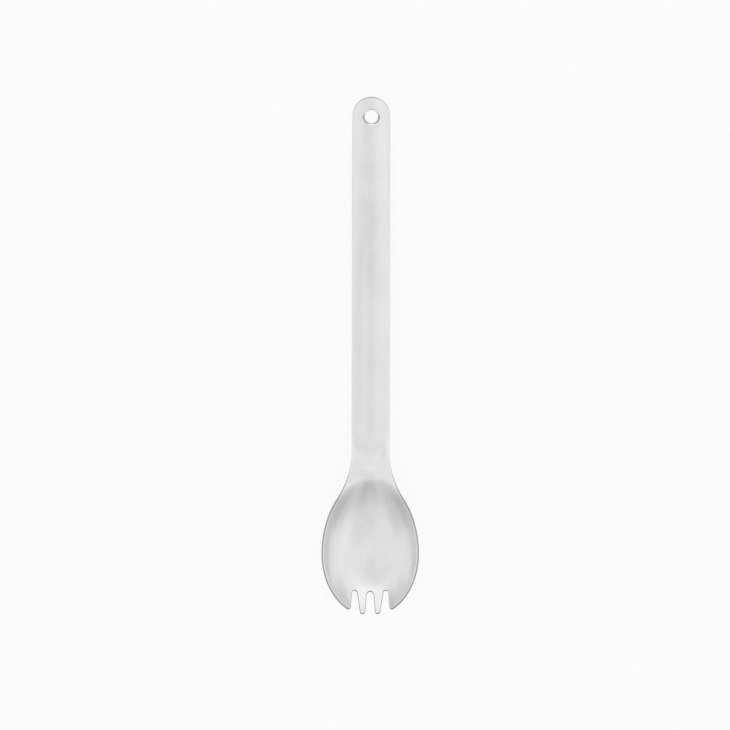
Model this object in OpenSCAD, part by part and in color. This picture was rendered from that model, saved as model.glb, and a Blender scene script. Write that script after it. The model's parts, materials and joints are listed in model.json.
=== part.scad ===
// A long-handled camping spork, cut and pressed from one sheet of titanium.
// It lies with its bowl up: X is across it, Y runs from the tines to the handle's end, and Z is up.
// Distances along the spork are measured from the tips of the inner tines.

/* [Overall] */
// Length from the tips of the inner tines to the handle's end
overall_l = 215; // [190:1:240]
// Thickness of the sheet
sheet_t = 1; // [0.8:0.1:1.4]
// Width of the bevel that breaks every edge of the sheet
edge_break = 0.2; // [0.1:0.05:0.25]

/* [Handle] */
// Width of the handle
handle_w = 15.7; // [13:0.1:19]
// How far the middle of the handle stands above its two edges
handle_crown = 1.2; // [0.5:0.1:2]
// Length of the rounding at the handle's end
end_round_l = 7.6; // [5:0.1:9]
// Rise of the lengthwise arch above a straight line from the bowl to the handle's end
arch_rise = 3; // [2:0.5:8]

/* [Hanging hole] */
// Diameter of the hole
hole_d = 5.8; // [4:0.2:7]
// Distance from the handle's end to the middle of the hole
hole_inset = 8.3; // [7.5:0.1:14]

/* [Neck] */
// Distance from the bowl's widest place to where its outline starts to run out into the handle
flare_from = 22.2; // [20:0.2:24]
// How far the neck's edges stand above its middle
neck_hollow = 1.6; // [0.2:0.1:2.4]
// Where the section has turned over fully, from hollow at the neck to crowned on the handle
crown_start = 76; // [70:1:86]
// Length over which the section turns over
turn_l = 14; // [10:1:20]

/* [Bowl] */
// Width of the bowl across its rim
bowl_w = 40.4; // [38:0.1:46]
// Depth of the bowl
bowl_depth = 8.5; // [6:0.5:11]
// Length of the egg-shaped outline from its widest place to its tine end
egg_tine_l = 25.8; // [23:0.1:29]
// Length of the egg-shaped outline from its widest place to its neck end
egg_neck_l = 31.4; // [29:0.1:34]
// How far the egg's tine end lies beyond the tips of the inner tines
tip_short = 0.8; // [0.6:0.1:1.4]
// Distance from the bowl's widest place to the brow, where its floor meets the neck
brow_from = 33; // [31:0.1:35]
// How much nearer to the tines the brow lies at the rim than in the middle
brow_bow = 8.5; // [4:0.5:14]
// Depth over which the bowl's floor rounds into the neck
brow_h = 2.6; // [1:0.1:4]

/* [Tines] */
// Depth of the middle slot
mid_slot_l = 9; // [7:0.1:10]
// Width of the middle slot at its root
mid_slot_w = 3; // [2:0.1:3.4]
// Depth of each side slot
side_slot_l = 9.5; // [7.5:0.1:10.5]
// Width of each side slot at its root
side_slot_w = 2.2; // [1.6:0.1:2.6]
// Distance from the middle to each side slot's root
side_slot_x = 6.5; // [6.1:0.1:7]
// Distance from the middle to each inner tine's tip
inner_tip_x = 3.1; // [2.8:0.1:3.4]
// Width of each inner tine's round tip
inner_tip_w = 2.3; // [1.8:0.1:2.6]
// Distance from the middle to each outer tine's inner side, at its tip
outer_tip_x = 8; // [7.7:0.1:8.2]
// How far each outer tine's tip meets the bowl's outline behind the inner tips
outer_tip_back = 2.25; // [2.1:0.05:3]

/* [Hidden] */

// How far the hole's cutter runs past the sheet
overrun = 1;
// Step over which the pressed surface's slope is taken
probe = 0.01;

// Share of the bowl's cross-section that follows a fourth power, which steepens its flanks
flank_share = 0.42;
// Share by which the bowl's floor is fuller toward the tines than toward the neck
skew_share = 0.2;
// Least share of the bowl's width that its egg shape is taken to keep past its ends
egg_end_share = 0.2;
// Share of the whole length that the closely spaced cross rows cover
close_rows_share = 0.36;

// Counts of the mesh, each over one half of the width or over one stretch of the length
mid_slot_cells = 3;
inner_tine_cells = 4;
side_slot_cells = 4;
outer_tine_cells = 6;
tine_rows = 5;
close_rows = 34;
handle_rows = 14;

function mix(a, b, share) = a + (b - a) * share;
function unit(v) = v / norm(v);
function ease(share) = let (q = min(max(share, 0), 1)) q * q * (3 - 2 * q);
function soft_max(a, b, reach) = max(a, b) + pow(max(reach - abs(a - b), 0) / reach, 3) * reach / 6;
function lowest(points, axis) = min([for (p = points) p[axis]]);
function highest(points, axis) = max([for (p = points) p[axis]]);

// An edge of the sheet stands square to it, so a leaning edge reaches past the middle of the sheet.
function edge_reach(slope) = (sheet_t / 2 - edge_break) * sin(atan(slope));

// Outline of the pressed sheet, taken in the middle of its thickness.
// The bowl is an egg of two half ellipses, and a parabola carries its side on into the handle's.
widest_at = egg_tine_l - tip_short;
flare_start = widest_at + flare_from;
rim_rate = 2 + 2 * flank_share;
bowl_half = bowl_w / 2 - edge_reach(rim_rate * bowl_depth * 2 / bowl_w);
handle_half = handle_w / 2 - edge_reach(handle_crown * 4 / handle_w);
function ellipse_share(share) = sqrt(max(1 - share * share, egg_end_share * egg_end_share));
function egg(s) = bowl_half * ellipse_share((s - widest_at) / (s < widest_at ? egg_tine_l : egg_neck_l));
flare_half = egg(flare_start);
flare_slope = (flare_start - widest_at) * pow(bowl_half / egg_neck_l, 2) / flare_half;
flare_l = 2 * (flare_half - handle_half) / flare_slope;
function flare(s) = let (left = max(flare_start + flare_l - s, 0) / flare_l)
    handle_half + (flare_half - handle_half) * left * left;
function side(s) = s < flare_start ? egg(s) : flare(s);

// Height of the pressed sheet's middle at x across and s along.
// The spork rests on its bowl and on the handle's end, and arches between them.
floor_middle = widest_at + (brow_from - egg_tine_l) / 2;
floor_reach = (brow_from + egg_tine_l) / 2;
function bowed(q, u) = q + brow_bow / floor_reach * u * u * pow(max(q, 0), 2);
function floor_form(q) = (1 - q * q) * (1 - skew_share * min(q, 1));
floor_deepest = (2 - sqrt(4 + 12 * skew_share * skew_share)) / (6 * skew_share);
function floor_depth(u, s) =
    bowl_depth * floor_form(bowed((s - floor_middle) / floor_reach, u)) / floor_form(floor_deepest);
function dish(u, s) = s < floor_middle ? floor_depth(u, s) : soft_max(floor_depth(u, s), 0, brow_h);
function section(u) = mix(u * u, pow(u, 4), flank_share);
function edge_lift(s) = neck_hollow * ease(s / (crown_start - turn_l))
    - (neck_hollow + handle_crown) * ease((s - crown_start + turn_l) / turn_l);
function arch(s) = let (q = (s - widest_at) / (overall_l - end_round_l - widest_at))
    mix(bowl_depth, handle_crown, q) + 4 * arch_rise * q * (1 - q);
function pressed(x, s) = let (u = x / side(s))
    arch(s) - dish(u, s) * (1 - section(u)) + edge_lift(s) * u * u;
function slope_across(x, s) = (pressed(x + probe, s) - pressed(x - probe, s)) / (2 * probe);
function slope_along(x, s) = (pressed(x, s + probe) - pressed(x, s - probe)) / (2 * probe);
function square_out(x, s) = unit([-slope_across(x, s), -slope_along(x, s), 1]);

// The blank reaches short of the overall length where its ends lean outward.
tip_at = edge_reach(abs(slope_along(inner_tip_x, 0)));
end_at = overall_l - edge_reach(abs(slope_along(0, overall_l)));
hole_at = overall_l - hole_inset;

// Columns of the mesh over the right half, from the middle out, at the slots' roots and at the tips.
// Over a slot the tips' row repeats the root's, because no sheet lies there.
mid_r = mid_slot_w / 2;
side_r = side_slot_w / 2;
tip_r = inner_tip_w / 2;
mid_root = mid_slot_l - mid_r;
side_root = side_slot_l - side_r;
function arc(centre, r, from, to, cells) =
    [for (k = [0 : cells]) let (a = mix(from, to, k / cells)) centre + r * [cos(a), sin(a)]];
function line(from, to, cells) = [for (k = [0 : cells]) mix(from, to, k / cells)];
function but_last(points) = [for (k = [0 : len(points) - 2]) points[k]];

// The outer tine's tip is rounded so that it touches both the slot's wall and the bowl's outline.
tip_slope = (widest_at - outer_tip_back) * pow(bowl_half / egg_tine_l, 2) / egg(outer_tip_back);
tip_turn = atan(tip_slope);
outer_r = (egg(outer_tip_back) - outer_tip_x) / (1 + cos(tip_turn));
outer_centre = [outer_tip_x + outer_r, outer_tip_back + outer_r * sin(tip_turn)];

root_half = concat(
    but_last(arc([0, mid_root], mid_r, 90, 0, mid_slot_cells)),
    but_last(line([mid_r, mid_root], [side_slot_x - side_r, side_root], inner_tine_cells)),
    but_last(arc([side_slot_x, side_root], side_r, 180, 0, side_slot_cells)),
    line([side_slot_x + side_r, side_root], [side(side_root), side_root], outer_tine_cells));
inner_from = mid_slot_cells;
inner_to = inner_from + inner_tine_cells;
outer_from = inner_to + side_slot_cells;
half_cells = outer_from + outer_tine_cells;
tip_half = concat(
    [for (k = [0 : inner_from - 1]) root_half[k]],
    arc([inner_tip_x, tip_at + tip_r], tip_r, 180, 360, inner_tine_cells),
    [for (k = [inner_to + 1 : outer_from - 1]) root_half[k]],
    arc(outer_centre, outer_r, 180, 360 - tip_turn, outer_tine_cells));
function is_slot(cell) = cell < inner_from || (cell >= inner_to && cell < outer_from);

// Each tine's columns run straight from its tip to its root, but the outer side keeps to the outline.
function belly_share(k) = max(k - outer_from, 0) / outer_tine_cells;
function tine_point(k, share) = let (
        tip = tip_half[k],
        root = root_half[k],
        s = mix(tip.y, root.y, share),
        belly = side(s) - mix(side(tip.y), side(root.y), share))
    [mix(tip.x, root.x, share) + belly_share(k) * belly, s];

// Behind the slots the columns spread out evenly, and the last row is the handle's rounded end.
function row_share(row) = row < close_rows
    ? close_rows_share * row / close_rows
    : mix(close_rows_share, 1, (row - close_rows) / handle_rows);
function body_point(k, share) = let (
        root = root_half[k],
        across = k / half_cells,
        end = end_at - end_round_l * (1 - sqrt(1 - across * across)),
        s = mix(root.y, end, share))
    [side(s) * mix(root.x / side(root.y), across, share), s];
function half_point(k, row) = row < tine_rows
    ? tine_point(k, row / tine_rows)
    : body_point(k, row_share(row - tine_rows));

columns = 2 * half_cells;
rows = tine_rows + close_rows + handle_rows;
function place(row, column) = let (p = half_point(abs(column - half_cells), row))
    [column < half_cells ? -p.x : p.x, p.y];
places = [for (row = [0 : rows]) [for (column = [0 : columns]) place(row, column)]];
function middle(at) = let (p = places[at[0]][at[1]]) [p.x, p.y, pressed(p.x, p.y)];
function normal(at) = let (p = places[at[0]][at[1]]) square_out(p.x, p.y);
function is_sheet(row, column) = row >= tine_rows
    || !is_slot(column < half_cells ? half_cells - 1 - column : column - half_cells);

// The outline as a walk over the mesh's rows and columns, anticlockwise seen from above.
tines = [
    [0, half_cells - outer_from],
    [half_cells - inner_to, half_cells - inner_from],
    [half_cells + inner_from, half_cells + inner_to],
    [half_cells + outer_from, columns]];
last_tine = len(tines) - 1;
function tip_walk(tine) = [for (column = [tine[0] : tine[1] - 1]) [0, column]];
function slot_walk(left, right) = concat(
    [for (row = [0 : tine_rows - 1]) [row, left]],
    [for (column = [left : right - 1]) [tine_rows, column]],
    [for (row = [tine_rows : -1 : 1]) [row, right]]);
walk = concat(
    [for (t = [0 : last_tine]) each concat(
        tip_walk(tines[t]),
        t < last_tine ? slot_walk(tines[t][1], tines[t + 1][0]) : [])],
    [for (row = [0 : rows - 1]) [row, columns]],
    [for (column = [columns : -1 : 1]) [rows, column]],
    [for (row = [rows : -1 : 1]) [row, 0]]);
steps = len(walk);
outward = [for (n = [0 : steps - 1])
    unit(cross(middle(walk[(n + 1) % steps]) - middle(walk[(n + steps - 1) % steps]), normal(walk[n])))];

// Both faces of the sheet stop short of the outline by the bevel, and its wall stands between them.
function is_edge(row, column) = row == rows || column == 0 || column == columns
    || !is_sheet(row, column) || !is_sheet(row, column - 1)
    || row == 0 || (row == tine_rows && (!is_sheet(row - 1, column) || !is_sheet(row - 1, column - 1)));
function step_of(at) = [for (n = [0 : steps - 1]) if (walk[n] == at) n];
function bevel_in(at) = let (found = is_edge(at[0], at[1]) ? step_of(at) : [])
    len(found) == 0 ? [0, 0, 0] : edge_break * outward[found[0]];
function face(height) = [for (row = [0 : rows]) for (column = [0 : columns])
    let (at = [row, column]) middle(at) + height * normal(at) - bevel_in(at)];
function wall(height) = [for (at = walk) middle(at) + height * normal(at)];
sheet_points = concat(
    face(sheet_t / 2), face(-sheet_t / 2),
    wall(sheet_t / 2 - edge_break), wall(edge_break - sheet_t / 2));

// Numbers of a place's points in the list above
face_points = (rows + 1) * (columns + 1);
function above(at) = at[0] * (columns + 1) + at[1];
function below(at) = face_points + above(at);
function wall_top(n) = 2 * face_points + n;
function wall_foot(n) = wall_top(n) + steps;

// A four-sided facet becomes two triangles along its shorter diagonal.
function split(a, b, c, d) =
    norm(sheet_points[a] - sheet_points[c]) < norm(sheet_points[b] - sheet_points[d])
        ? [[a, b, c], [a, c, d]]
        : [[a, b, d], [b, c, d]];
function cell_corners(row, column) =
    [[row, column], [row + 1, column], [row + 1, column + 1], [row, column + 1]];
sheet_faces = concat(
    [for (row = [0 : rows - 1]) for (column = [0 : columns - 1]) if (is_sheet(row, column))
        let (c = cell_corners(row, column)) each concat(
            split(above(c[0]), above(c[1]), above(c[2]), above(c[3])),
            split(below(c[0]), below(c[3]), below(c[2]), below(c[1])))],
    [for (n = [0 : steps - 1]) let (next = (n + 1) % steps) each concat(
        split(above(walk[n]), above(walk[next]), wall_top(next), wall_top(n)),
        split(wall_top(n), wall_top(next), wall_foot(next), wall_foot(n)),
        split(wall_foot(n), wall_foot(next), below(walk[next]), below(walk[n])))]);

// The origin is under the middle of the spork, on the surface that it lies on.
origin = [
    (lowest(sheet_points, 0) + highest(sheet_points, 0)) / 2,
    (lowest(sheet_points, 1) + highest(sheet_points, 1)) / 2,
    lowest(sheet_points, 2)];

module pressed_sheet() {
    polyhedron(points = sheet_points, faces = sheet_faces, convexity = 8);
}

// The hole goes straight through the sheet, square to it.
module hanging_hole() {
    translate([0, hole_at, pressed(0, hole_at)])
        rotate([atan(slope_along(0, hole_at)), 0, 0])
            cylinder(d = hole_d, h = sheet_t + 2 * overrun, center = true, $fn = 64);
}

module spork_body() {
    color("silver")
        translate(-origin)
            difference() {
                pressed_sheet();
                hanging_hole();
            }
}

spork_body();
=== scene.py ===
# %% [markdown]
# # A long-handled spork, pressed from one sheet of titanium
# The real spork is one flat blank. It is stamped out with its slots and its hanging hole, tumbled until no
# edge is sharp, pressed between two dies, and blasted with fine beads so that it looks satin. This lesson
# goes the same way: it draws the blank, gives it a thickness and soft edges, and lets a Geometry Nodes tree
# do the work of the press. The sheet is worked in millimetres, and the tree's last step turns it to metres.
#
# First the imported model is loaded. It gives the frame that every piece has to sit in, and its box.

import json
import math

import bpy
import numpy as np
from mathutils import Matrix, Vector, geometry


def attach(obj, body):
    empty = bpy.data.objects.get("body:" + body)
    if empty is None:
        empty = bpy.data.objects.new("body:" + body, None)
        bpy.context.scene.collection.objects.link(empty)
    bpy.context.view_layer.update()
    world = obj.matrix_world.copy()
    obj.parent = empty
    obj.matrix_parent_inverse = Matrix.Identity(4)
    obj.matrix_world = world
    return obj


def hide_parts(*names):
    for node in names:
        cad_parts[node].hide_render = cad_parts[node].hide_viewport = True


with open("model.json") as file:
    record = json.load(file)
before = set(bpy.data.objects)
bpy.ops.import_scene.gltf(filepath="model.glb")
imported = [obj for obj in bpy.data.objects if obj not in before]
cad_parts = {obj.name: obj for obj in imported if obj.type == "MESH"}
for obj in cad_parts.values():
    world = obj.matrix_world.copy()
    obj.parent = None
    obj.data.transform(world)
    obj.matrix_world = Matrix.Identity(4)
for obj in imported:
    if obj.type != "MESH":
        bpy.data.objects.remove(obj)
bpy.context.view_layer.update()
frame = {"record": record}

# %% [markdown]
# ## Sizes
# These are the drawing's own sizes. Distances along the spork start at the tips of its inner tines.

# %% Sizes of the sheet, the handle and the neck
overall_l = 215.0
sheet_t = 1.0
edge_round = 0.4        # tumbling takes nearly the whole edge away
hole_round = 0.7        # and more at the hole, where the punch drew the sheet in
wall_half = sheet_t / 2 - edge_round

handle_w = 15.7
handle_crown = 1.2
end_round_l = 7.6
arch_rise = 3.0
hole_d = 5.8
hole_inset = 8.3

flare_from = 22.2
neck_hollow = 1.6
crown_start = 76.0
turn_l = 14.0
print("sheet:", overall_l, "x", sheet_t, "mm, handle", handle_w, "mm wide")

# %% Sizes of the bowl and the tines
bowl_w = 40.4
bowl_depth = 8.5
egg_tine_l = 25.8
egg_neck_l = 31.4
tip_short = 0.8
brow_from = 33.0
brow_bow = 8.5
brow_h = 2.6

mid_slot_l, mid_slot_w = 9.0, 3.0
side_slot_l, side_slot_w, side_slot_x = 9.5, 2.2, 6.5
inner_tip_x, inner_tip_w = 3.1, 2.3
outer_tip_x, outer_tip_back = 8.0, 2.25

flank_share = 0.42      # how much of the bowl's section follows a fourth power
skew_share = 0.2        # how much fuller its floor is toward the tines
egg_end_share = 0.2     # least width that the egg keeps past its ends
print("bowl:", bowl_w, "mm wide,", bowl_depth, "mm deep")

# %% [markdown]
# ## Outline of the blank
# The bowl is an egg of two half ellipses that meet where it is widest. Behind it a parabola carries the side
# on into the straight handle. A leaning edge reaches further out than the middle of the sheet does, so the
# half widths are drawn a little narrower than the finished spork.

# %% Half width of the sheet, anywhere along it
lean_share = 0.3        # of the thickness: less than half, because the corners are rounded


def lean(slope):
    """How far the edge of a sheet that slopes this much reaches past its middle."""
    return lean_share * sheet_t * math.sin(math.atan(slope))


wall_slope = (2 + 2 * flank_share) * bowl_depth / (bowl_w / 2)
crown_slope = 2 * handle_crown / (handle_w / 2)
bowl_half = bowl_w / 2 - lean(wall_slope)
handle_half = handle_w / 2 - lean(crown_slope)
widest_at = egg_tine_l - tip_short
flare_start = widest_at + flare_from


def egg(s):
    """Half width of the bowl's egg at the distance s from the tips."""
    q = (s - widest_at) / np.where(s < widest_at, egg_tine_l, egg_neck_l)
    return bowl_half * np.sqrt(np.maximum(1 - q * q, egg_end_share ** 2))


flare_half = float(egg(flare_start))
flare_slope = flare_from * (bowl_half / egg_neck_l) ** 2 / flare_half
flare_l = 2 * (flare_half - handle_half) / flare_slope


def side(s):
    """Half width of the whole sheet there: the egg, then the flare, then the handle."""
    left = np.maximum(flare_start + flare_l - s, 0) / flare_l
    return np.where(s < flare_start, egg(s), handle_half + (flare_half - handle_half) * left ** 2)


print(f"half widths: bowl {bowl_half:.2f}, neck {flare_half:.2f}, handle {handle_half:.2f} mm")

# %% [markdown]
# ## Slots and tines
# Every slot ends in a round root and every tine in a round tip, and a straight line touches both circles.
# Working out where it touches keeps the outline smooth, so that the edge catches the light in one stroke.

# %% Circles and the lines that touch them
def arc(centre, r, start, end, step=0.12):
    """Points about a step apart on a circle, from one angle to another."""
    count = math.ceil(abs(math.radians(end - start)) * r / step)
    a = np.radians(np.linspace(start, end, count + 1))
    return np.column_stack([centre[0] + r * np.cos(a), centre[1] + r * np.sin(a)])


def touch(left, left_r, right, right_r, turn):
    """Direction square to the line that keeps one circle on its left and the other on its right."""
    across = np.subtract(right, left)
    return (math.degrees(math.atan2(across[1], across[0]))
            + turn * math.degrees(math.acos((left_r + right_r) / math.hypot(*across))))


def run(start, end, step=0.5):
    """Points of a straight stretch, without its two ends."""
    count = math.ceil(math.dist(start, end) / step)
    return np.linspace(start, end, count + 1)[1:-1]


print("a slot's round root has", len(arc((0, 0), mid_slot_w / 2, 0, 180)), "points")

# %% The tines, from the middle slot to the outer tine's tip
tine_slope = 0.55       # how steeply a tine rises at its tip
mid_r, side_r, tip_r = mid_slot_w / 2, side_slot_w / 2, inner_tip_w / 2
mid_root = (0, mid_slot_l - mid_r)
side_root = (side_slot_x, side_slot_l - side_r)
tip = (inner_tip_x, lean(tine_slope) + tip_r)

outer_half = float(egg(outer_tip_back))
outer_slope = (widest_at - outer_tip_back) * (bowl_half / egg_tine_l) ** 2 / outer_half
outer_turn = math.degrees(math.atan(outer_slope))
outer_r = (outer_half - outer_tip_x) / (1 + math.cos(math.radians(outer_turn)))
outer_tip = (outer_tip_x + outer_r, outer_tip_back + outer_r * math.sin(math.radians(outer_turn)))

line_1 = touch(mid_root, mid_r, tip, tip_r, 1)
line_2 = touch(tip, tip_r, side_root, side_r, -1)
line_3 = touch(side_root, side_r, outer_tip, outer_r, 1)
arcs = [arc(mid_root, mid_r, 90, line_1),
        arc(tip, tip_r, 180 + line_1, 360 + line_2),
        arc(side_root, side_r, 180 + line_2, line_3),
        arc(outer_tip, outer_r, 180 + line_3, 360 - outer_turn)]
tines = [arcs[0]]
for before, after in zip(arcs, arcs[1:]):
    tines += [run(before[-1], after[0]), after]
print("outer tine's tip radius:", round(outer_r, 2), "mm")

# %% The whole outline, anticlockwise, and the hole
end_at = overall_l - 0.02           # the arched handle's end leans out a little too
bowl_points, handle_points, end_points = 150, 130, 36
measured_points = 6000              # close enough to measure the length along the side
fine = np.linspace(outer_tip_back, end_at - end_round_l, measured_points)
long_side = np.column_stack([side(fine), fine])
reach = np.concatenate([[0], np.cumsum(np.hypot(*np.diff(long_side, axis=0).T))])
bowl_reach = np.interp(flare_start + flare_l, fine, reach)
marks = np.concatenate([np.linspace(0, bowl_reach, bowl_points)[1:],
                        np.linspace(bowl_reach, reach[-1], handle_points)[1:-1]])
long_side = np.column_stack([np.interp(marks, reach, column) for column in long_side.T])

turn = np.radians(np.linspace(0, 90, end_points))
handle_end = np.column_stack([handle_half * np.cos(turn),
                              end_at - end_round_l + end_round_l * np.sin(turn)])
right = np.concatenate(tines + [long_side, handle_end])
right[0, 0] = right[-1, 0] = 0
outline = np.concatenate([right, (right * (-1, 1))[-2:0:-1]])

hole_at = overall_l - hole_inset
hole = arc((0, hole_at), hole_d / 2, 360, 0, step=0.25)[:-1]
print(len(outline), "points round the sheet,", len(hole), "round the hole")

# %% [markdown]
# ## A blank with a thickness and tumbled edges
# Both outlines get twelve rings, from the upper face round the soft edge and down to the lower face. The
# faces are filled with an even lattice of points joined by triangles, because the press bends the sheet
# everywhere and long thin facets would show in a satin shine.
#
# Each point also stores two things that the material needs later: how far it lies from the nearest edge, and
# how far round the edge a dark band reaches there. Tumbling smooths a cut edge from both faces, so that a
# duller band of torn metal is left half-way round it. The band here is that dull cut and painted shade as
# well: it is made wider at the end of the handle, at the tines and at the hole's left, right and bowl side,
# and narrower at the neck. The band is given as an angle round the edge's circle, from 0 at the middle of
# the edge to 90 degrees at the face.

# %% Rings round the edges
def inward(loop):
    """Unit directions that point from a loop into the sheet."""
    along = np.roll(loop, -1, axis=0) - np.roll(loop, 1, axis=0)
    along /= np.linalg.norm(along, axis=1)[:, None]
    return np.column_stack([-along[:, 1], along[:, 0]])


# The dark band round the edges is partly the dull cut and partly painted shade, widened where those edges
# look darker.
bare_sides = 62                     # degrees, along the handle's and the bowl's sides
painted_shade_at_end, painted_shade_at_tines = 45, 25 # painted shade: the band is widened at the handle's end and at the tines
less_painted_shade_at_neck = 58                   # the band, painted shade and all, is narrowest at the neck
neck_at, neck_reach = 65, 7         # mm from the tips
# painted shade in the hole: the band is widened at its left and right and on its side toward the bowl
bare_in_hole, painted_shade_at_hole_sides, shade_toward_bowl = 30, 70, 0.6
bare_fade = 32                      # degrees over which the band fades out


def cut_and_shade_at_outline(loop, pull):
    """Up to which angle the dark band shows, dull edge and painted shade: furthest at the handle's end, and
    least at the neck.
    """
    at_neck = np.exp(-((loop[:, 1] - neck_at) / neck_reach) ** 2)
    across = np.where(pull[:, 1] < 0, painted_shade_at_end, painted_shade_at_tines) * pull[:, 1] ** 2
    return bare_sides + across - less_painted_shade_at_neck * at_neck


def cut_and_shade_at_hole(loop, pull):
    """The same in the hole, where the painted shade reaches furthest at its left and right, and on the side
    toward the bowl.
    """
    shaded_side = np.clip(np.abs(pull[:, 0]) - shade_toward_bowl * pull[:, 1], 0, 1)
    return bare_in_hole + painted_shade_at_hole_sides * shaded_side ** 3


quarter = np.linspace(90, 0, 6)
insets = 1 - np.cos(np.radians(quarter))
heights = wall_half + edge_round * np.sin(np.radians(quarter))
points, distances, cut_and_shade, quads, rims = [], [], [], [], []
for loop, soft, cut_and_shade_reach in ((outline, edge_round, cut_and_shade_at_outline), (hole, hole_round, cut_and_shade_at_hole)):
    rings = [*zip(insets, heights, quarter), *zip(insets[::-1], -heights[::-1], quarter[::-1])]
    first, n = sum(map(len, points)), len(loop)
    cut_and_shade_here = cut_and_shade_reach(loop, inward(loop))
    for inset, height, angle in rings:
        points.append(np.column_stack([loop + soft * inset * inward(loop), np.full(n, height)]))
        distances.append(np.full(n, soft * inset))
        cut_and_shade.append(np.clip((cut_and_shade_here - angle) / bare_fade, 0, 1))
    for ring in range(len(rings) - 1):
        for k in range(n):
            a, b = first + ring * n + k, first + ring * n + (k + 1) % n
            quads.append((b, a, a + n, b + n))
    rims.append((first, first + (len(rings) - 1) * n, n))
print(len(quads), "facets round the edges")

# %% A lattice of points over each face
def inside(places, loops):
    """Which places lie in the sheet: a line to the right meets its borders an odd number of times."""
    meets = np.zeros(len(places), int)
    for loop in loops:
        for (x1, s1), (x2, s2) in zip(loop, np.roll(loop, -1, axis=0)):
            if s1 != s2:
                beside = (places[:, 1] < s1) != (places[:, 1] < s2)
                meets += beside & (places[:, 0] < x1 + (places[:, 1] - s1) * (x2 - x1) / (s2 - s1))
    return meets % 2 == 1


def lattice(low, high, step):
    """Points a step apart in rows, every second row moved by half a step."""
    rows = np.arange(low, high, step * math.sqrt(3) / 2)
    columns = np.arange(-bowl_half, bowl_half, step)
    return np.array([(x + (k % 2) * step / 2, s) for k, s in enumerate(rows) for x in columns])


flat = np.concatenate(points)[:, :2]
rim_loops = [flat[first:first + n] for first, _, n in rims]
# Finer in the bowl, where the die bends the sheet most, and coarser in the handle.
grid = np.concatenate([lattice(0.6, 75, step=0.55), lattice(75.4, end_at, step=0.8)])
grid = grid[inside(grid, rim_loops)]
edge_points = np.concatenate([outline, hole])
gap = np.array([np.hypot(*(edge_points - p).T).min() for p in grid])
clear_of_rim = 0.25                 # mm, so that no triangle at the rim is a sliver
keep = gap > edge_round + clear_of_rim
grid, gap = grid[keep], gap[keep]
print(len(grid), "points in the lattice")

# %% Fill the faces
known = np.concatenate(rim_loops + [grid])
borders, start = [], 0
for loop in rim_loops:
    borders += [(start + k, start + (k + 1) % len(loop)) for k in range(len(loop))]
    start += len(loop)
same_point = 1e-6
filled = geometry.delaunay_2d_cdt([Vector(p) for p in known], borders, [], 0, same_point, True)
triangles = np.array([[filled[3][k][0] for k in face] for face in filled[2]])
triangles = triangles[inside(known[triangles].mean(axis=1), rim_loops)]

base = len(flat)
rim_ids = [np.concatenate([np.arange(rim[face], rim[face] + rim[2]) for rim in rims]) for face in (0, 1)]
faces = []
for k, height in enumerate((sheet_t / 2, -sheet_t / 2)):
    number = np.concatenate([rim_ids[k], base + k * len(grid) + np.arange(len(grid))])
    corners = number[triangles] if k == 0 else number[triangles][:, ::-1]
    faces += [tuple(face) for face in corners.tolist()]
    points.append(np.column_stack([grid, np.full(len(grid), height)]))
    distances.append(gap)
    cut_and_shade.append(0 * gap)

blank_mesh = bpy.data.meshes.new("blank")
blank_mesh.from_pydata(np.concatenate(points).tolist(), [], quads + faces)
# The second attribute is the dark edge band: the dull cut together with painted shade.
for name, stored in (("edge_distance", distances), ("cut_edge", cut_and_shade)):
    blank_mesh.attributes.new(name, "FLOAT", "POINT").data.foreach_set(
        "value", np.concatenate(stored).astype(np.float32))
blank = bpy.data.objects.new("blank", blank_mesh)
bpy.context.scene.collection.objects.link(blank)
print("blank:", len(blank_mesh.vertices), "points and", len(blank_mesh.polygons), "facets")

# %% [markdown]
# ## The press, as a node tree
# A die is a height for every place on the sheet. One node group works that height out from the sizes: the
# arch from the bowl to the handle's end, less the dish of the bowl, plus the lift of the edges, which stand
# up at the neck and turn down over the crowned handle. The dish ends at the brow, a rounded step up into the
# neck. It is a curved line: in the middle it lies further back than at the rim. Each line below is one Math
# node: its name, what it does, and what goes into it.

# %% One helper that adds a node
def add(tree, kind, links=(), **settings):
    """Adds a node with its settings. Links are sockets or values, in order or by the inputs' names."""
    node = tree.nodes.new(kind)
    count = len(tree.nodes)
    node.location = (200 * (count % 12), -180 * (count // 12))
    for name, value in settings.items():
        setattr(node, name, value)
    for key, value in links.items() if isinstance(links, dict) else enumerate(links):
        if isinstance(value, bpy.types.NodeSocket):
            tree.links.new(value, node.inputs[key])
        else:
            node.inputs[key].default_value = value
    return node


sizes = {
    "Overall length": overall_l, "Handle end length": end_round_l, "Widest place": widest_at,
    "Bowl half width": bowl_half, "Egg tine length": egg_tine_l, "Egg neck length": egg_neck_l,
    "Flare start": flare_start, "Flare length": flare_l, "Flare half width": flare_half,
    "Handle half width": handle_half, "Bowl depth": bowl_depth, "Brow place": brow_from,
    "Brow bow": brow_bow, "Brow height": brow_h, "Handle crown": handle_crown,
    "Arch rise": arch_rise, "Neck hollow": neck_hollow,
    "Crown start": crown_start, "Turn length": turn_l, "Flank share": flank_share,
    "Skew share": skew_share, "Egg end share": egg_end_share}
print(len(sizes), "sizes go into the tree")

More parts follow.
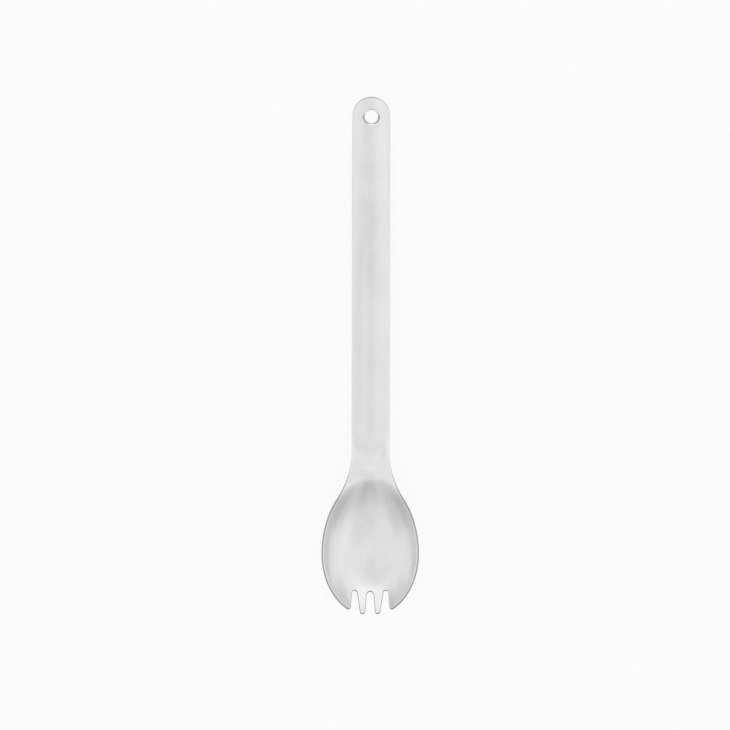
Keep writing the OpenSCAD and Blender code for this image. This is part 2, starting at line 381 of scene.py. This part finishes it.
# %% The formula of the die
half_width_steps = [
    ("beyond", "SUBTRACT", "Along", "Widest place"),
    ("tine side", "LESS_THAN", "beyond", 0),
    ("egg gap", "SUBTRACT", "Egg tine length", "Egg neck length"),
    ("egg length", "MULTIPLY_ADD", "tine side", "egg gap", "Egg neck length"),
    ("egg q", "DIVIDE", "beyond", "egg length"),
    ("egg q2", "MULTIPLY", "egg q", "egg q"),
    ("egg left", "SUBTRACT", 1, "egg q2"),
    ("egg end2", "MULTIPLY", "Egg end share", "Egg end share"),
    ("egg kept", "MAXIMUM", "egg left", "egg end2"),
    ("egg share", "SQRT", "egg kept"),
    ("egg", "MULTIPLY", "egg share", "Bowl half width"),
    ("flare end", "ADD", "Flare start", "Flare length"),
    ("flare gap", "SUBTRACT", "flare end", "Along"),
    ("flare ahead", "MAXIMUM", "flare gap", 0),
    ("flare q", "DIVIDE", "flare ahead", "Flare length"),
    ("flare q2", "MULTIPLY", "flare q", "flare q"),
    ("flare rise", "SUBTRACT", "Flare half width", "Handle half width"),
    ("flare", "MULTIPLY_ADD", "flare q2", "flare rise", "Handle half width"),
    ("in the bowl", "LESS_THAN", "Along", "Flare start"),
    ("egg over flare", "SUBTRACT", "egg", "flare"),
    ("side", "MULTIPLY_ADD", "in the bowl", "egg over flare", "flare"),
    ("u", "DIVIDE", "Across", "side"),
    ("u2", "MULTIPLY", "u", "u"),
    ("u4", "MULTIPLY", "u2", "u2")]
dish_steps = [
    ("steeper", "SUBTRACT", "u4", "u2"),
    ("section", "MULTIPLY_ADD", "steeper", "Flank share", "u2"),
    ("wall share", "SUBTRACT", 1, "section"),
    ("floor sum", "ADD", "Brow place", "Egg tine length"),
    ("floor reach", "DIVIDE", "floor sum", 2),
    ("floor gap", "SUBTRACT", "Brow place", "Egg tine length"),
    ("floor middle", "MULTIPLY_ADD", "floor gap", 0.5, "Widest place"),
    ("from middle", "SUBTRACT", "Along", "floor middle"),
    ("r level", "DIVIDE", "from middle", "floor reach"),
    ("r ahead", "MAXIMUM", "r level", 0),
    ("r ahead2", "MULTIPLY", "r ahead", "r ahead"),
    ("bow share", "DIVIDE", "Brow bow", "floor reach"),
    ("bow here", "MULTIPLY", "bow share", "u2"),
    ("r", "MULTIPLY_ADD", "r ahead2", "bow here", "r level"),
    ("r2", "MULTIPLY", "r", "r"),
    ("bow", "SUBTRACT", 1, "r2"),
    ("r capped", "MINIMUM", "r", 1),
    ("skewed", "MULTIPLY", "r capped", "Skew share"),
    ("fuller", "SUBTRACT", 1, "skewed"),
    ("form", "MULTIPLY", "bow", "fuller"),
    ("depth scale", "DIVIDE", "Bowl depth", "Deepest form"),
    ("floor", "MULTIPLY", "form", "depth scale"),
    ("brow", "SMOOTH_MAX", "floor", 0, "Brow height"),
    ("tine half", "LESS_THAN", "from middle", 0),
    ("floor over brow", "SUBTRACT", "floor", "brow"),
    ("dish", "MULTIPLY_ADD", "tine half", "floor over brow", "brow"),
    ("dish here", "MULTIPLY", "dish", "wall share")]
arch_steps = [
    ("rest end", "SUBTRACT", "Overall length", "Handle end length"),
    ("span", "SUBTRACT", "rest end", "Widest place"),
    ("t", "DIVIDE", "beyond", "span"),
    ("t2", "MULTIPLY", "t", "t"),
    ("bow along", "SUBTRACT", "t", "t2"),
    ("rise 4", "MULTIPLY", "Arch rise", 4),
    ("fall", "SUBTRACT", "Handle crown", "Bowl depth"),
    ("line", "MULTIPLY_ADD", "t", "fall", "Bowl depth"),
    ("arch", "MULTIPLY_ADD", "bow along", "rise 4", "line"),
    ("lift", "SUBTRACT", "hollow lift", "turned down"),
    ("lift here", "MULTIPLY", "lift", "u2"),
    ("arch less dish", "SUBTRACT", "arch", "dish here"),
    ("height", "ADD", "arch less dish", "lift here")]
print("steps:", len(half_width_steps), "for the half width,", len(dish_steps), "for the dish,",
      len(arch_steps), "for the arch")

# %% Build the group that holds it
die = bpy.data.node_groups.new("Height of the die", "GeometryNodeTree")
for name in ("Across", "Along", *sizes):
    socket = die.interface.new_socket(name=name, in_out="INPUT", socket_type="NodeSocketFloat")
    socket.default_value = sizes.get(name, 0)
die.interface.new_socket(name="Height", in_out="OUTPUT", socket_type="NodeSocketFloat")

values = {socket.name: socket for socket in add(die, "NodeGroupInput").outputs}
deepest = (2 - math.sqrt(4 + 12 * skew_share ** 2)) / (6 * skew_share)
values["Deepest form"] = (1 - deepest ** 2) * (1 - skew_share * deepest)
full = add(die, "ShaderNodeMath", [values["Crown start"], values["Turn length"]],
           operation="SUBTRACT").outputs[0]
drop = add(die, "ShaderNodeMath", [values["Neck hollow"], values["Handle crown"]],
           operation="ADD").outputs[0]
values["hollow lift"] = add(
    die, "ShaderNodeMapRange", interpolation_type="SMOOTHSTEP",
    links={"Value": values["Along"], "From Max": full, "To Max": values["Neck hollow"]}).outputs[0]
values["turned down"] = add(
    die, "ShaderNodeMapRange", interpolation_type="SMOOTHSTEP",
    links={"Value": values["Along"], "From Min": full, "From Max": values["Crown start"],
           "To Max": drop}).outputs[0]
for name, operation, *terms in half_width_steps + dish_steps + arch_steps:
    terms = [values.get(term, term) for term in terms]
    node = add(die, "ShaderNodeMath", terms, operation=operation, label=name)
    values[name] = node.outputs[0]
add(die, "NodeGroupOutput", [values["height"]])
print("die:", len(die.nodes), "nodes")

# %% [markdown]
# The press itself reads the die's height at each point of the blank and a hair to its right, left, front and
# back. Those four give the slope, so the sheet's thickness is laid square to the pressed surface, as real
# sheet keeps it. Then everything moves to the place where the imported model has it, and becomes metres.

# %% Build the press
press = bpy.data.node_groups.new("Press", "GeometryNodeTree")
press.interface.new_socket(name="Blank", in_out="INPUT", socket_type="NodeSocketGeometry")
for name, value in sizes.items():
    socket = press.interface.new_socket(name=name, in_out="INPUT", socket_type="NodeSocketFloat")
    socket.default_value = value
press.interface.new_socket(name="Row origin", in_out="INPUT", socket_type="NodeSocketVector")
press.interface.new_socket(name="Finish", in_out="INPUT", socket_type="NodeSocketMaterial")
press.interface.new_socket(name="Sheet", in_out="OUTPUT", socket_type="NodeSocketGeometry")

given = {socket.name: socket for socket in add(press, "NodeGroupInput").outputs}
place = add(press, "ShaderNodeSeparateXYZ", [add(press, "GeometryNodeInputPosition").outputs[0]]).outputs
hair = 0.1              # mm
heights = {}
for name, across, along in (("here", 0, 0), ("right", hair, 0), ("left", -hair, 0),
                            ("front", 0, hair), ("back", 0, -hair)):
    x = add(press, "ShaderNodeMath", [place[0], across], operation="ADD").outputs[0]
    s = add(press, "ShaderNodeMath", [place[1], along], operation="ADD").outputs[0]
    links = {"Across": x, "Along": s, **{size: given[size] for size in sizes}}
    node = press.nodes.new("GeometryNodeGroup")
    node.node_tree = die
    for size, socket in links.items():
        press.links.new(socket, node.inputs[size])
    heights[name] = node.outputs[0]

tilt_x = add(press, "ShaderNodeMath", [heights["left"], heights["right"]], operation="SUBTRACT").outputs[0]
tilt_s = add(press, "ShaderNodeMath", [heights["back"], heights["front"]], operation="SUBTRACT").outputs[0]
square = add(press, "ShaderNodeCombineXYZ", [tilt_x, tilt_s, 2 * hair]).outputs[0]
square = add(press, "ShaderNodeVectorMath", [square], operation="NORMALIZE").outputs[0]
middle = add(press, "ShaderNodeCombineXYZ", [place[0], place[1], heights["here"]]).outputs[0]
thick = add(press, "ShaderNodeVectorMath", {0: square, "Scale": place[2]}, operation="SCALE").outputs[0]
pressed = add(press, "ShaderNodeVectorMath", [middle, thick], operation="ADD").outputs[0]
moved = add(press, "ShaderNodeVectorMath", [pressed, given["Row origin"]], operation="SUBTRACT").outputs[0]
metres = add(press, "ShaderNodeVectorMath", {0: moved, "Scale": 0.001}, operation="SCALE").outputs[0]

shaped = add(press, "GeometryNodeSetPosition", {"Geometry": given["Blank"], "Position": metres}).outputs[0]
smooth = add(press, "GeometryNodeSetShadeSmooth", {"Geometry": shaped, "Shade Smooth": True}).outputs[0]
real = add(press, "GeometryNodeRealizeInstances", [smooth]).outputs[0]
painted = add(press, "GeometryNodeSetMaterial", {"Geometry": real, "Material": given["Finish"]}).outputs[0]
add(press, "NodeGroupOutput", [painted])
print("press:", len(press.nodes), "nodes")

# %% [markdown]
# ## Satin titanium
# Titanium is a darker grey than steel, and bare sheet is dull. Blasting with fine glass beads after tumbling
# makes it pale and satin: it has no clear reflections, only soft bands of light along the handle and round
# the bowl. Close up, four things show: the fine pitted grain of the beads, faint lines along the rolled
# sheet, edges that rub smooth and brighter with use, and a dark band half-way round each edge, which is
# partly the dull cut and partly painted shade.
# The beads' pits are about 0.1 mm across, finer than one pixel here, so they are drawn at 0.3 mm to show at
# all. The metal's own colour is taken paler than bare titanium's, which is the bead blasting's work.

# %% Colours and the material
def linear(hex_colour):
    """An sRGB hex colour as the linear values that Blender's sockets take."""
    channels = [int(hex_colour[k:k + 2], 16) / 255 for k in (1, 3, 5)]
    return [c / 12.92 if c < 0.04045 else ((c + 0.055) / 1.055) ** 2.4 for c in channels] + [1]


grain_m, lines_m, clouds_m = 0.0003, 0.0007, 0.014      # sizes of the three patterns
drawn_out = 50                      # how much longer than wide rolling has made the lines
relief_m = 0.00003                  # height of the grain and of the lines
titanium = bpy.data.materials.new("Titanium sheet, tumbled and bead-blasted")
titanium.use_nodes = True
t = titanium.node_tree
t.nodes.clear()
spot = add(t, "ShaderNodeTexCoord").outputs["Object"]

grain = add(t, "ShaderNodeTexNoise", {"Vector": spot, "Scale": 1 / grain_m, "Detail": 2.0, "Roughness": 0.6})
stretch = add(t, "ShaderNodeMapping", {"Vector": spot, "Scale": (1, 1 / drawn_out, 1)}).outputs[0]
lines = add(t, "ShaderNodeTexNoise", {"Vector": stretch, "Scale": 1 / lines_m, "Detail": 3.0,
                                      "Roughness": 0.65})
clouds = add(t, "ShaderNodeTexNoise", {"Vector": spot, "Scale": 1 / clouds_m, "Detail": 4.0,
                                       "Roughness": 0.55})
edge = add(t, "ShaderNodeAttribute", attribute_name="edge_distance").outputs["Fac"]
rubbed = add(t, "ShaderNodeMapRange", interpolation_type="SMOOTHSTEP",
             links={"Value": edge, "From Min": 0.9, "From Max": 0.15}).outputs[0]

shade = add(t, "ShaderNodeMapRange", {"Value": clouds.outputs[0], "From Min": 0.3, "From Max": 0.7,
                                      "To Min": -0.35, "To Max": 0.35}).outputs[0]
shade = add(t, "ShaderNodeMath", [lines.outputs[0], 0.9, shade], operation="MULTIPLY_ADD").outputs[0]
satin = add(t, "ShaderNodeMix", data_type="RGBA",
            links={0: shade, 6: linear("#DCDCDD"), 7: linear("#E6E6E6")}).outputs[2]
worn = add(t, "ShaderNodeMix", data_type="RGBA",
           links={0: rubbed, 6: satin, 7: linear("#E9E9E9")}).outputs[2]
# Painted shade, in part: the dark grey band round the edges is the dull cut together with shade painted on
# it.
cut_edge_and_shade_mask = add(t, "ShaderNodeAttribute", attribute_name="cut_edge").outputs["Fac"]
colour = add(t, "ShaderNodeMix", data_type="RGBA",
             links={0: cut_edge_and_shade_mask, 6: worn, 7: linear("#9C9C9E")}).outputs[2]
rough = add(t, "ShaderNodeMapRange", {"Value": clouds.outputs[0], "From Min": 0.3, "From Max": 0.7,
                                      "To Min": 0.20, "To Max": 0.25}).outputs[0]
rough = add(t, "ShaderNodeMath", [rubbed, -0.02, rough], operation="MULTIPLY_ADD").outputs[0]
pits = add(t, "ShaderNodeBump", {"Height": grain.outputs[0], "Strength": 0.12,
                                 "Distance": relief_m}).outputs[0]
rolled = add(t, "ShaderNodeBump", {"Height": lines.outputs[0], "Strength": 0.12, "Distance": relief_m,
                                   "Normal": pits}).outputs[0]
metal = add(t, "ShaderNodeBsdfPrincipled", {"Base Color": colour, "Metallic": 1.0,
                                            "Roughness": rough, "Normal": rolled}).outputs[0]
add(t, "ShaderNodeOutputMaterial", {"Surface": metal})
print("material:", titanium.name, "with", len(t.nodes), "nodes")

# %% [markdown]
# ## Press the blank
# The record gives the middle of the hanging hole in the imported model's own frame. The same place on the
# pressed sheet tells how far the sheet has to move.

# %% Set the tree's inputs, bake it and clear up
def arch(s):
    """Height of the sheet's middle line behind the bowl, as the die has it."""
    q = (s - widest_at) / (overall_l - end_round_l - widest_at)
    return bowl_depth + (handle_crown - bowl_depth) * q + 4 * arch_rise * q * (1 - q)


hole_mount = next(m for m in frame["record"]["mounts"] if m["name"] == "hang_hole")
row_origin = [a - 1000 * b for a, b in zip((0, hole_at, arch(hole_at)), hole_mount["pos_m"])]
modifier = blank.modifiers.new("Press", "NODES")
modifier.node_group = press
sockets = {item.name: item.identifier for item in press.interface.items_tree if item.in_out == "INPUT"}
for name, value in {**sizes, "Row origin": row_origin, "Finish": titanium}.items():
    modifier[sockets[name]] = value

evaluated = blank.evaluated_get(bpy.context.evaluated_depsgraph_get())
spork_mesh = bpy.data.meshes.new_from_object(evaluated)
spork_mesh.name = "pressed_sheet"
spork = bpy.data.objects.new("pressed_sheet", spork_mesh)
bpy.context.scene.collection.objects.link(spork)
bpy.data.objects.remove(blank)

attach(spork, "root")
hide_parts("spork_body")
print("row origin:", [round(v, 4) for v in row_origin], "facets:", len(spork_mesh.polygons))

# %% [markdown]
# ## Floor, background and light
# The photograph has the spork on plain white, in a studio that is white nearly all round. Satin metal only
# shows what stands round it, so the studio matters as much as the finish. The world is white wherever the
# camera or the metal looks at it, and one wide soft box past the handle brightens the tines, which lean that
# way. The paper gives the camera most of its white itself, and takes the rest from the light, so that the
# spork still throws a soft shadow on it.
#
# A photographer shades metal with grey and black cards. The cards here are sheets bent round the spork, and
# only reflections see them. Each point of a card stores how solid it is there: the borders fade out, because
# a card close to a lens has no sharp border either, and a sharp one would draw a line across the bowl.

# %% White world and pale floor
world = bpy.data.worlds.new("studio")
bpy.context.scene.world = world
world.use_nodes = True
w = world.node_tree
w.nodes.clear()
ray = add(w, "ShaderNodeLightPath").outputs
seen = add(w, "ShaderNodeMath", [ray["Is Camera Ray"], ray["Is Glossy Ray"]], operation="MAXIMUM").outputs[0]
seen = add(w, "ShaderNodeMath", [seen, ray["Is Transmission Ray"]], operation="MAXIMUM").outputs[0]
power = add(w, "ShaderNodeMapRange", {"Value": seen, "To Min": 0.9, "To Max": 1.0}).outputs[0]
sky = add(w, "ShaderNodeBackground", {"Color": linear("#FFFFFF"), "Strength": power}).outputs[0]
add(w, "ShaderNodeOutputWorld", {"Surface": sky})


def on_stage(name, corners, faces, material):
    """A mesh that stands in the studio and isn't part of the spork."""
    mesh = bpy.data.meshes.new(name)
    mesh.from_pydata(corners, [], faces)
    mesh.materials.append(material)
    piece = bpy.data.objects.new(name, mesh)
    bpy.context.scene.collection.objects.link(piece)
    return piece


paper = bpy.data.materials.new("Matt white paper")
paper.use_nodes = True
p = paper.node_tree
p.nodes.clear()
matt = add(p, "ShaderNodeBsdfDiffuse", {"Color": linear("#FDFDFD")}).outputs[0]
light = add(p, "ShaderNodeEmission", {"Color": linear("#FDFDFD")}).outputs[0]
own_white = 0.9         # the share of its white that the paper gives the camera itself
rays = add(p, "ShaderNodeLightPath").outputs["Is Camera Ray"]
share = add(p, "ShaderNodeMath", [rays, own_white], operation="MULTIPLY").outputs[0]
surface = add(p, "ShaderNodeMixShader", [share, matt, light]).outputs[0]
add(p, "ShaderNodeOutputMaterial", {"Surface": surface})
floor = on_stage("floor", [(-2, -2, 0), (2, -2, 0), (2, 2, 0), (-2, 2, 0)], [(0, 1, 2, 3)], paper)
print("floor:", [round(side_m, 2) for side_m in floor.dimensions[:2]], "m")

# %% Places in the studio
def toward(side, tilt, away=1.6):
    """A place round the spork, in metres: its side in degrees from +X, and its tilt down from overhead."""
    side, tilt = math.radians(side), math.radians(tilt)
    return (away * math.sin(tilt) * math.cos(side), away * math.sin(tilt) * math.sin(side),
            away * math.cos(tilt))


print("a lamp straight past the handle, half-way down:", [round(c, 2) for c in toward(90, 45)])

# %% One wide soft box
wide = bpy.data.lights.new("wide soft box past the handle", "AREA")
wide.shape = "RECTANGLE"
wide.size, wide.size_y = 1.05, 0.70                     # metres
wide.energy = 0.41                                      # watts
soft_box = bpy.data.objects.new(wide.name, wide)
soft_box.location = toward(90, 40, 1.45)
soft_box.rotation_euler = (-Vector(soft_box.location)).to_track_quat("-Z", "Y").to_euler()
soft_box.visible_camera = False
bpy.context.scene.collection.objects.link(soft_box)
print("soft box at", [round(c, 2) for c in soft_box.location])

# %% Cards that only reflections see
def fade(from_border, width):
    """How solid a card is at this distance from its border: 0 on the border, 1 a width further in."""
    q = min(max(from_border / width, 0), 1)
    return q * q * (3 - 2 * q)


def card(name, side, reach, tilts, soft, level, away):
    """A card bent round the spork: the side it stands on, how far it reaches from there to both sides, its
    tilts, how softly it fades to its sides and to its top and foot, and how bright it is beside white. It
    fades nowhere that it has no border: right round, overhead and where it stands on the floor."""
    across, down = 36, 12
    top, foot = tilts
    places, solid = [], []
    for tilt in np.linspace(top, foot, down + 1):
        for turned in np.linspace(-reach, reach, across + 1):
            places.append(toward(side + turned, tilt, away))
            share = 1 if reach > 179 else fade(reach - abs(turned), soft[0])
            share *= 1 if top < 1 else fade(tilt - top, soft[1])
            solid.append(share * (1 if foot > 89 else fade(foot - tilt, soft[1])))
    material = bpy.data.materials.new(name)
    material.use_nodes = True
    m = material.node_tree
    m.nodes.clear()
    stored = add(m, "ShaderNodeAttribute", attribute_name="solid").outputs["Fac"]
    clear = add(m, "ShaderNodeBsdfTransparent").outputs[0]
    glow = add(m, "ShaderNodeEmission", {"Color": linear("#FFFFFF"), "Strength": level}).outputs[0]
    surface = add(m, "ShaderNodeMixShader", [stored, clear, glow]).outputs[0]
    add(m, "ShaderNodeOutputMaterial", {"Surface": surface})

    starts = [row * (across + 1) + k for row in range(down) for k in range(across)]
    piece = on_stage(name, places, [(k, k + 1, k + across + 2, k + across + 1) for k in starts], material)
    solid_here = piece.data.attributes.new("solid", "FLOAT", "POINT")
    solid_here.data.foreach_set("value", np.array(solid, np.float32))
    piece.visible_camera = piece.visible_diffuse = piece.visible_shadow = False
    piece.visible_transmission = piece.visible_volume_scatter = False


cards = [
    ("grey card behind the dark one", 269, 69, (42, 89.5), (20, 20), 0.745),
    ("dark card past the tines", 273, 29, (37.5, 89.5), (12.5, 20), 0.455),
    ("low card round the tines", 270, 70, (76, 89.5), (12, 6), 0.56),
    ("card past the handle", 93, 78, (53, 89.5), (10, 8), 0.80),
    ("card at the upper left", 129, 19, (36.5, 77), (17, 9), 0.65),
    ("card left of the camera", 130, 45, (15, 36), (10, 9), 0.77),
    ("arm that holds the camera", 88, 42, (2, 22), (25, 5), 0.84),
    ("card at the lower right", 292, 41, (18, 46), (14, 7), 0.90),
    ("bright card past the handle", 89, 77, (17, 45), (10, 16), 1.09),
    ("bright card at the right", 342, 39, (37, 67), (17, 7), 1.055),
    ("camera", 0, 180, (0.3, 8), (1, 7.5), 0.88)]
first_away, closer = 1.7, 0.02      # metres: each card stands a little in front of the last one
for k, sizes_of_card in enumerate(cards):
    card(*sizes_of_card, first_away - closer * k)
print(len(cards), "cards")

# %% [markdown]
# ## Camera
# The photograph looks straight at the spork's face through a long lens, so the camera hangs far above it.
# The spork is 517 of the picture's 730 pixels long, a little right of the middle and above it, and leans by
# a seventh of a degree.

# %% Hang the camera
lens, sensor = 135.0, 36.0          # mm
long_in_pixels = 517.2
pixel = overall_l / 1000 / long_in_pixels
right_of_middle = 5.7 * pixel
lean_of_picture = 0.15              # degrees
camera_data = bpy.data.cameras.new("camera")
camera_data.lens, camera_data.sensor_width = lens, sensor
camera_data.clip_start, camera_data.clip_end = 0.01, 10
camera = bpy.data.objects.new("camera", camera_data)
camera.location = (-right_of_middle, -0.00422, 1.1415)
camera.rotation_euler = (0, 0, math.radians(lean_of_picture))
bpy.context.scene.collection.objects.link(camera)
bpy.context.scene.camera = camera
bpy.context.scene.view_settings.view_transform = "Standard"
print("camera is", round(camera.location.z, 3), "m above the floor")
